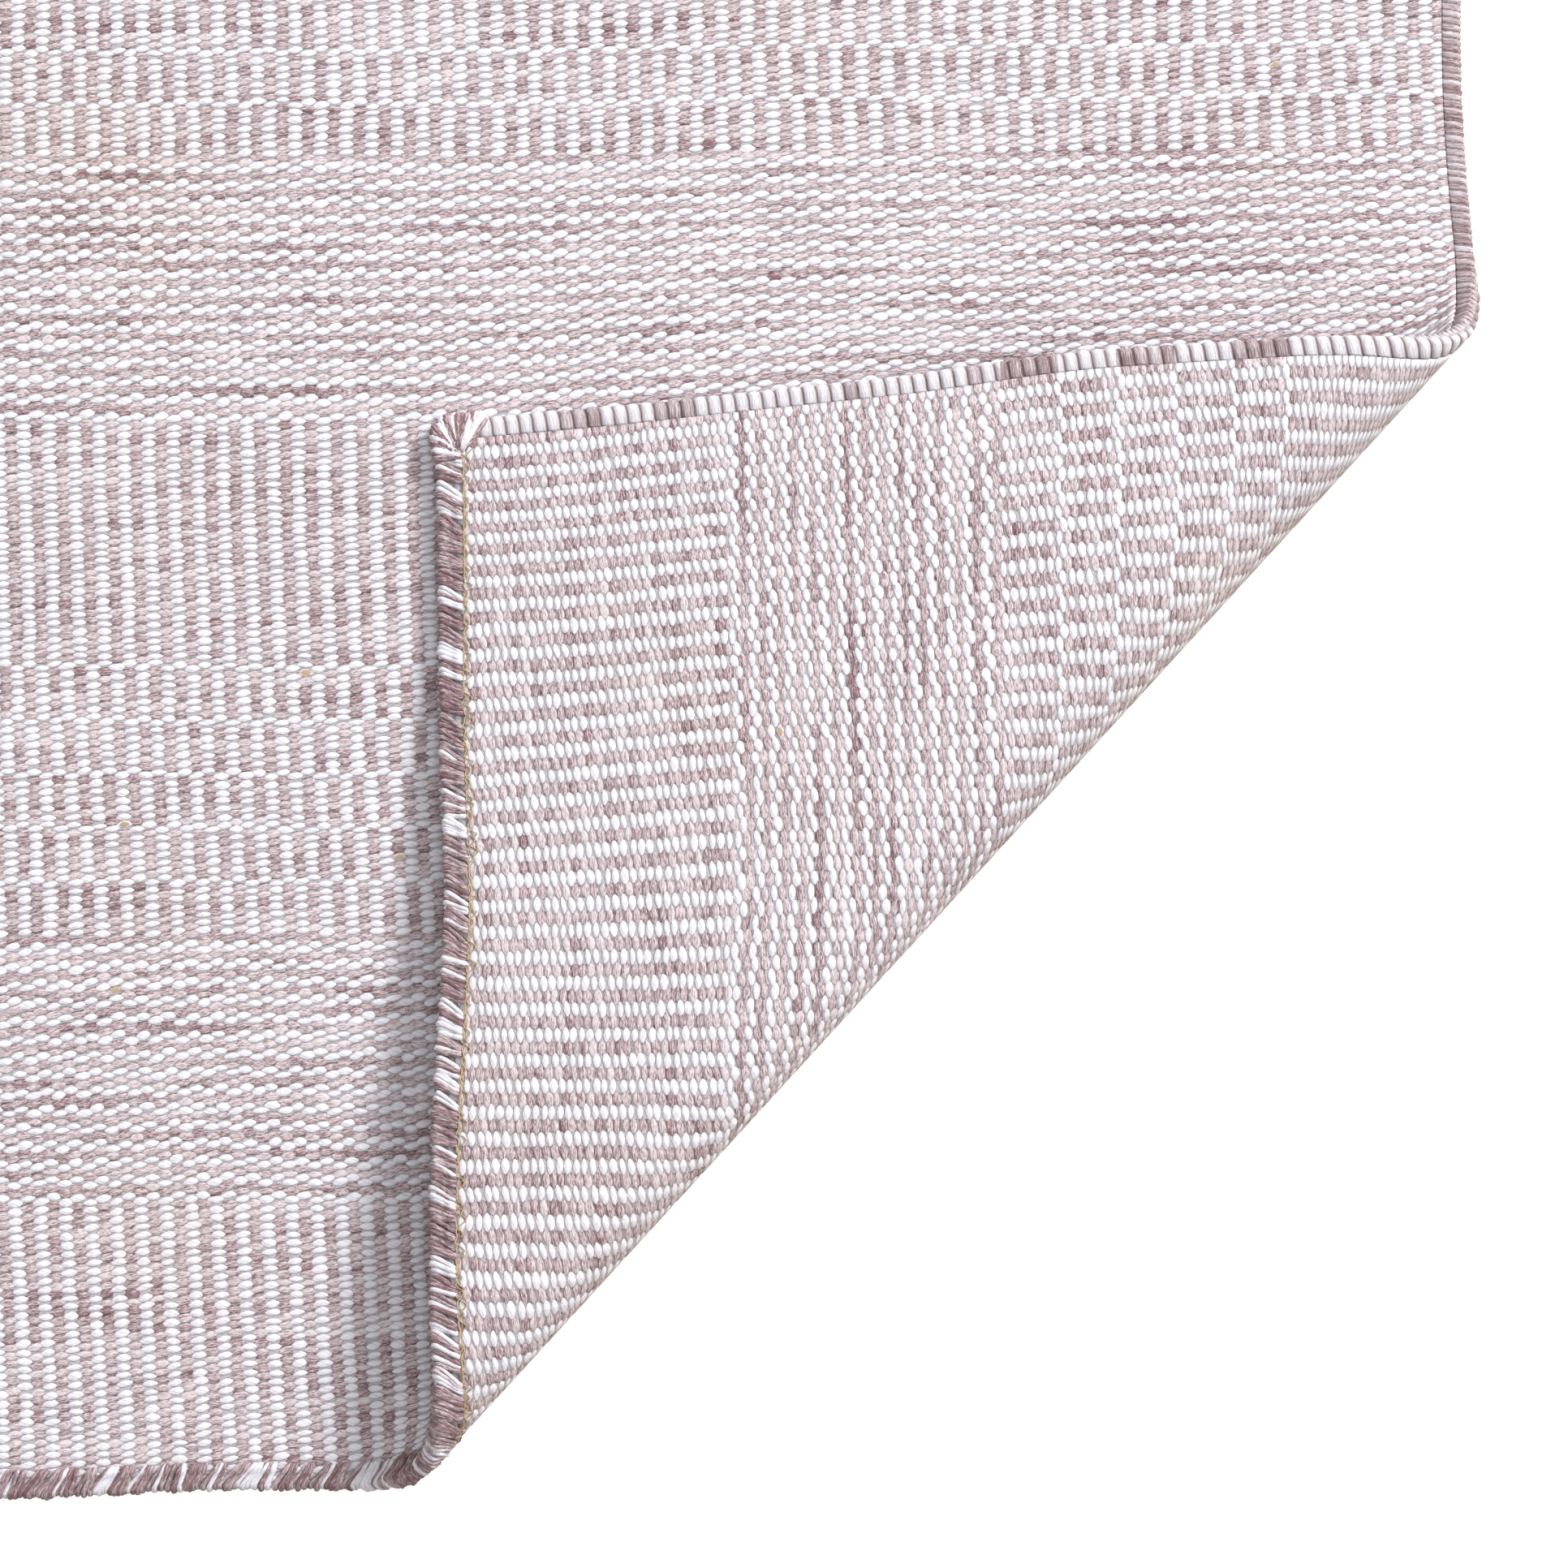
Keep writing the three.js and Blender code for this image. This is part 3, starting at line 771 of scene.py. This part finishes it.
def makeOvercast(name, node, end, seed):
    o = overcast
    strands = overcastStrands(seed)
    t = np.linspace(-1, 1, o["along"])[None, :]
    turn = 2 * np.pi * np.arange(o["around"]) / o["around"]
    grow = {k: v[:, None] for k, v in strands.items()}
    # distance from the inner end to the outline: (|c/a|^4 + |s/b|^4)^(-1/4) in the fan
    c, s = np.abs(np.cos(grow["heading"])), np.abs(np.sin(grow["heading"]))
    a, b = o["cornerReach"]
    outline = ((c / a) ** 4 + (s / b) ** 4) ** -0.25
    reach = grow["reach"] + np.where(grow["fanned"], outline - o["reach"], 0)
    # path: out along the front, a half circle at the nose, back along the underside
    front = np.clip((-t - o["noseShare"]) / (1 - o["noseShare"]), 0, 1)
    back = np.clip((t - o["noseShare"]) / (1 - o["noseShare"]), 0, 1)
    nose = np.clip(t / o["noseShare"], -1, 1) * np.pi / 2
    inward = front + back
    high = o["high"] + grow["loose"] + o["shoulder"] * ease((inward - 0.45) / 0.4)
    high = high + o["cornerHigh"] * ease((np.degrees(np.abs(grow["heading"])) - 60) / 30)
    sunk = o["sunk"] * ease((inward - 0.84) / 0.16)
    w = -np.sin(nose) * (high - sunk)
    out = (reach - o["noseLength"]) * (1 - inward) + np.cos(nose) * o["noseOut"]
    # sideways: bundles spread at the nose, close up at the needle hole and lean one way
    # on the front and the other way on the back
    bundle = grow["spread"] * (o["pitch"] * 1.05 - 2.4 * inward**1.4)
    bundle = np.where(grow["fanned"], grow["spread"] * (3.8 - 2.6 * inward), bundle)
    swept = front - 0.9 * back
    across = bundle + np.where(grow["fanned"], 0.25, 1) * grow["lean"] * swept
    # tube round the path in cloth coordinates
    dOut, dW = np.gradient(out, axis=1), np.gradient(w, axis=1)
    length = np.sqrt(dOut**2 + dW**2) + 1e-9
    normalOut, normalW = -dW / length, dOut / length
    taper = 1 - 0.35 * ease((inward - 0.8) / 0.2)
    radius = grow["radius"] * taper
    cosTurn, sinTurn = np.cos(turn)[None, None, :], np.sin(turn)[None, None, :]
    side = across[:, :, None] + radius[:, :, None] * cosTurn
    outAt = out[:, :, None] + (radius * o["flat"] * normalOut)[:, :, None] * sinTurn
    wAt = w[:, :, None] + (radius * o["flat"] * normalW)[:, :, None] * sinTurn
    cosH, sinH = np.cos(grow["heading"])[:, :, None], np.sin(grow["heading"])[:, :, None]
    x = grow["x"][:, :, None] + outAt * sinH + side * cosH
    inset = cloth["halfLength"] - o["reach"] - o["endGap"]
    y = end * (inset + outAt * cosH - side * sinH)
    lift = floorLift(cloth["edgeThickness"], x, y)
    points = layCloth(x, y, np.maximum(wAt + lift, floorOffset(x, y)))
    count, along, around = x.shape
    quads = gridQuads(along, around, closed=True)
    faces = (quads[None] + np.arange(count)[:, None, None] * along * around).reshape(-1, 4)
    if end > 0:
        faces = faces[:, ::-1]
    run = np.concatenate([np.zeros((count, 1)), np.cumsum(length[:, 1:], axis=1)], axis=1)
    yarnUv = np.stack(np.broadcast_arrays(
        run[:, :, None], 2 * np.abs(turn / np.pi - 1)[None, None, :]), axis=-1)
    dyeUv = np.stack(np.broadcast_arrays(
        grow["tone"][:, :, None] + 0 * x, grow["seed"][:, :, None] + 0 * x), axis=-1)
    piece = makePiece(name, points, faces, {"yarn": yarnUv, "dye": dyeUv}, [roving])
    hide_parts(node)
    return piece


overcastNear = makeOvercast("overcast_near", "end_overcast_near", -1, 21)
overcastFar = makeOvercast("overcast_far", "end_overcast_far", 1, 22)
print("overcast made", len(overcastNear.data.polygons), "quads an end")


selvedge = {
    "width": 5.3,
    "thickness": 4.8,
    "thread": 1.85,
    "perThread": 6,
    "around": 20,
    "outer": 0.6,
    "inner": 0.2,
    "endGap": 8.2,
    "numbers": 1300,
    "firstNumber": 600,
    "slope": 0.35,
    "fineSwell": (0.82, 0.18, 0.7),
    "coarseSwell": (0.62, 0.38, 0.30),
    "shadedSlits": (0.55, 0.30),
}


# Radius share across one thread: a base, the height of the swell and its power
def threadSwell(place, size, shape):
    base, height, power = shape
    return base + height * np.abs(np.sin(np.pi * place)) ** power * size


# Side cord wrapped by the wefts: a rounded oblong section carried along the edge, its
# radius swelling as |sin(pi k)|, k the thread number; on the back the threads are twice
# as wide, and they follow the colours of the block rows
def makeSelvedge(name, node, side, seed):
    v = selvedge
    random = np.random.RandomState(seed)
    reach = cloth["halfLength"] - v["endGap"]
    rows = int(2 * reach / v["thread"] * v["perThread"])
    y = np.linspace(-reach, reach, rows)[:, None]
    turn = (2 * np.pi * np.arange(v["around"]) / v["around"])[None, :]
    onBack = ease(0.5 - 1.6 * np.sin(turn))
    slope = v["slope"] * np.cos(turn)
    fine = y / v["thread"] + slope
    coarse = y / (2 * v["thread"]) + 0.25 + slope / 2
    fineNumber = np.floor(fine).astype(int) + v["firstNumber"]
    coarseNumber = np.floor(coarse).astype(int) + v["firstNumber"]
    sizes = random.uniform(0.85, 1.15, v["numbers"])
    fineSwell = threadSwell(fine, sizes[fineNumber], v["fineSwell"])
    coarseSwell = threadSwell(coarse, sizes[coarseNumber], v["coarseSwell"])
    swell = fineSwell + (coarseSwell - fineSwell) * onBack
    square = np.where(np.cos(turn) > 0, v["outer"], v["inner"])
    boxX = np.sign(np.cos(turn)) * np.abs(np.cos(turn)) ** square
    boxW = np.sign(np.sin(turn)) * np.abs(np.sin(turn)) ** v["outer"]
    outward = np.where(boxX > 0, swell, 1.0)
    x = side * (cloth["halfWidth"] - v["width"] / 2 + v["width"] / 2 * outward * boxX)
    w = v["thickness"] / 2 * swell * boxW
    yy = y + 0 * turn
    lift = floorLift(v["thickness"], x, yy)
    points = layCloth(x, yy, np.maximum(w + lift, floorOffset(x, yy)))
    pick = np.mod(pickNumber(clothDistance(side * cloth["halfWidth"], yy)), bands["repeat"])
    blockStart = bands["columns"] + bands["streaks"]
    blockTone = 1 - np.mod(np.floor((pick - blockStart) / bands["blockRow"]), 2)
    scattered = random.uniform(size=v["numbers"])
    backTone = np.where(pick >= blockStart, blockTone * 0.9, 0.8 * (scattered[coarseNumber] < 0.2))
    frontTone = np.where(np.mod(fineNumber, 2) == 0, 1.0, 0.55 + 0.4 * scattered[fineNumber])
    tone = frontTone + (backTone - frontTone) * onBack
    number = np.where(onBack > 0.5, coarseNumber + 700, fineNumber)
    faces = gridQuads(rows, v["around"], closed=True)
    if side > 0:
        faces = faces[:, ::-1]
    yarnUv = np.stack(np.broadcast_arrays(turn * 2.4 + 0 * y, np.mod(fine, 1) * 2), axis=-1)
    dyeUv = np.stack([tone, np.mod(number * 7.31, 90)], axis=-1)
    # mask for the painted shade in the grooves: 0 in the groove between threads, rising towards each crest
    raised = np.abs(np.sin(np.pi * np.where(onBack > 0.5, coarse, fine)))
    shadedSlit = np.where(onBack > 0.5, *v["shadedSlits"])
    grooveShadeUv = np.stack([np.clip(raised / shadedSlit - 0.15, 0, 1), 0 * raised], axis=-1)
    uvMaps = {"yarn": yarnUv, "dye": dyeUv, "grooveShade": grooveShadeUv}
    piece = makePiece(name, points, faces, uvMaps, [wrapped])
    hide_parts(node)
    return piece


selvedgeLeft = makeSelvedge("selvedge_cord_left", "selvedge_left", -1, 31)
selvedgeRight = makeSelvedge("selvedge_cord_right", "selvedge_right", 1, 32)
print("selvedges made", len(selvedgeLeft.data.polygons), "quads a side")


lockThread = {
    "radius": 0.20,
    "inset": 8.5,
    "step": 0.7,
    "around": 6,
    "loop": 1.5,
    "wave": 4.5,
    "wander": 0.8,
    "bends": 330,
    "endGap": 8.0,
}


# Tan threads that hold the overcast on the back: two thin tubes, each along a zigzag of
# inset + loop sin(2 pi x / 4.5) from the end, with a wander of its own
def makeLockThread(name, end, seed):
    t = lockThread
    random = np.random.RandomState(seed)
    half = cloth["halfWidth"] - t["endGap"]
    x = np.arange(-half, half, t["step"])[:, None]
    turn = (2 * np.pi * np.arange(t["around"]) / t["around"])[None, :]
    quads = gridQuads(len(x), t["around"], closed=True)[:, ::-end]
    points, faces, uvs = [], [], []
    for strand in range(2):
        bends = random.uniform(-t["wander"], t["wander"], t["bends"])
        rough = np.interp(x, np.linspace(-half, half, t["bends"]), bends)
        swing = np.sin(2 * np.pi * x / t["wave"] + 2.2 * strand)
        depth = t["inset"] + t["loop"] * swing * (0.4 + rough) + rough
        high = 0.20 + 0.25 * swing**2
        y = end * (cloth["halfLength"] - depth + t["radius"] * np.cos(turn))
        xx = x + 0.8 * rough + 0 * turn
        lift = floorLift(cloth["edgeThickness"], xx, y)
        w = -(cloth["thickness"] / 2 + high) + t["radius"] * np.sin(turn) + lift
        points.append(layCloth(xx, y, np.maximum(w, floorOffset(xx, y))).reshape(-1, 3))
        faces.append(quads + strand * xx.size)
        uvs.append(np.stack([xx, turn + 0 * x], axis=-1).reshape(-1, 2))
    return makePiece(name, np.concatenate(points), np.concatenate(faces),
                     {"yarn": np.concatenate(uvs)}, [flaxThread])


lockNear = makeLockThread("lock_thread_near", -1, 41)
lockFar = makeLockThread("lock_thread_far", 1, 42)
print("lock threads made")


studio = {
    "view": (133.6, -275.9),
    "pixel": 0.205,
    "pixels": 1932,
    "height": 1300.0,
    "clothTop": 5.0,
    "sensor": 36,
    "target": (0.13, -0.27, 0.0),
    "floorSize": 60.0,
    "floorDepth": 0.0002,
    "floorColour": "#e8dccc",
    "floorGlow": 0.75,
    "world": 0.38,
    "lamps": {
        "key softbox": {"from": (2.75, 2.9, 2.8), "size": 1.3, "power": 287.0},
        "overhead softbox": {"from": (0.1, 0.2, 3.2), "size": 2.0, "power": 30.0},
    },
}


def makeFloor():
    mesh = bpy.data.meshes.new("studio_floor")
    r = studio["floorSize"] / 2
    corners = [(x, y, -studio["floorDepth"]) for x, y in ((-r, -r), (r, -r), (r, r), (-r, r))]
    mesh.from_pydata(corners, [], [(0, 1, 2, 3)])
    floor = bpy.data.objects.new("studio_floor", mesh)
    bpy.context.scene.collection.objects.link(floor)
    # Pale floor lit up to white for the camera alone, so that its bounce stays warm
    material, tree = newMaterial("lit white studio floor")
    paint = addNode(tree, "ShaderNodeBsdfDiffuse", {"Color": linear(studio["floorColour"])})
    path = addNode(tree, "ShaderNodeLightPath")
    v = {"seen": path.outputs["Is Camera Ray"]}
    runSteps(tree, v, [("lit", "MULTIPLY", "seen", studio["floorGlow"])])
    glow = addNode(tree, "ShaderNodeEmission", {"Strength": v["lit"]})
    both = addNode(tree, "ShaderNodeAddShader", {0: paint.outputs[0], 1: glow.outputs[0]})
    addNode(tree, "ShaderNodeOutputMaterial", {"Surface": both.outputs[0]})
    material.cycles.emission_sampling = "NONE"
    mesh.materials.append(material)


def makeLights():
    world = bpy.data.worlds.new("studio light")
    bpy.context.scene.world = world
    world.use_nodes = True
    background = world.node_tree.nodes["Background"]
    background.inputs["Color"].default_value = white
    background.inputs["Strength"].default_value = studio["world"]
    target = np.array(studio["target"])
    for name, lamp in studio["lamps"].items():
        light = bpy.data.lights.new(name, "AREA")
        light.shape, light.size, light.size_y = "RECTANGLE", lamp["size"], lamp["size"]
        light.energy = lamp["power"]
        box = bpy.data.objects.new(name, light)
        box.location = target + np.array(lamp["from"])
        box.rotation_mode = "QUATERNION"
        box.rotation_quaternion = Vector(-np.array(lamp["from"])).to_track_quat("-Z", "Y")
        bpy.context.scene.collection.objects.link(box)


# Looks straight down from the photo's distance, the photo's width filling the sensor
def makeCamera():
    s = studio
    camera = bpy.data.cameras.new("photo camera")
    camera.sensor_width = s["sensor"]
    camera.lens = s["sensor"] * (s["height"] - s["clothTop"]) / (s["pixel"] * s["pixels"])
    camera.clip_start, camera.clip_end = 0.05, 20
    eye = bpy.data.objects.new("photo camera", camera)
    eye.location = (*(np.add(s["view"], frameShift) * mm), s["height"] * mm)
    bpy.context.scene.collection.objects.link(eye)
    bpy.context.scene.camera = eye
    bpy.context.scene.view_settings.view_transform = "Standard"


makeFloor()
makeLights()
makeCamera()
print("studio made")
